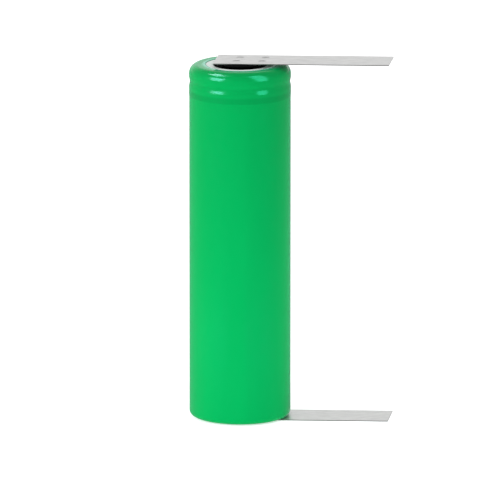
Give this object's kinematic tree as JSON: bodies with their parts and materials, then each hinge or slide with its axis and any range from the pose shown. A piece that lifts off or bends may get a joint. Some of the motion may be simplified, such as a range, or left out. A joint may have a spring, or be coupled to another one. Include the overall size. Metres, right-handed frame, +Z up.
{
  "type": "cylindrical battery cell",
  "caption": "Upright cylindrical lithium-ion cell in a green shrink sleeve, with a flat nickel solder strip welded to each end and pointing to one side.",
  "frame": {"origin": "on the cell's axis, at the underside of the negative strip that the cell stands on", "axes": "+Z up the cell's axis to the positive end, +X along both strips towards their free ends, +Y across the strips"},
  "size_m": [0.0367, 0.0184, 0.0657],
  "materials": {
    "pvc_sleeve": "gloss",
    "insulating_ring": "matte",
    "steel_can": "satin",
    "crimp_gasket": "satin",
    "positive_cap": "satin",
    "ptc_ring": "matte",
    "vent_disc": "satin",
    "cid_insulator_ring": "matte",
    "cid_disc": "satin",
    "top_insulator_disc": "matte",
    "cathode_lead": "satin",
    "cathode_lead_tape": "satin",
    "centre_pin": "satin",
    "cathode_sheet": "matte",
    "anode_sheet": "matte",
    "separator_film": "satin",
    "closing_tape": "satin",
    "bottom_insulator_disc": "matte",
    "anode_lead": "satin",
    "nickel_strip": "satin"
  },
  "bodies": {
    "cell": {"pvc_sleeve": "pvc_sleeve", "insulating_ring": "insulating_ring", "steel_can": "steel_can", "crimp_gasket": "crimp_gasket", "positive_cap": "positive_cap", "ptc_ring": "ptc_ring", "vent_disc": "vent_disc", "cid_insulator_ring": "cid_insulator_ring", "cid_disc": "cid_disc", "top_insulator_disc": "top_insulator_disc", "cathode_lead": "cathode_lead", "cathode_lead_tape": "cathode_lead_tape", "centre_pin": "centre_pin", "cathode_sheet": "cathode_sheet", "anode_sheet": "anode_sheet", "separator_inner": "separator_film", "separator_outer": "separator_film", "closing_tape": "closing_tape", "bottom_insulator_disc": "bottom_insulator_disc", "anode_lead": "anode_lead", "positive_strip_welded_end": "nickel_strip", "negative_strip_welded_end": "nickel_strip"},
    "positive_strip_end": {"positive_strip_free_end": "nickel_strip"},
    "negative_strip_end": {"negative_strip_free_end": "nickel_strip"}
  },
  "joints": [
    {"name": "positive_strip_bend", "type": "hinge", "parent": "cell", "child": "positive_strip_end", "pos_m": [0.0096, 0, 0.0656], "axis": [0, -1, 0], "range_deg": [-90, 90]},
    {"name": "negative_strip_bend", "type": "hinge", "parent": "cell", "child": "negative_strip_end", "pos_m": [0.0096, 0, 0.00007], "axis": [0, -1, 0], "range_deg": [0, 90]}
  ]
}
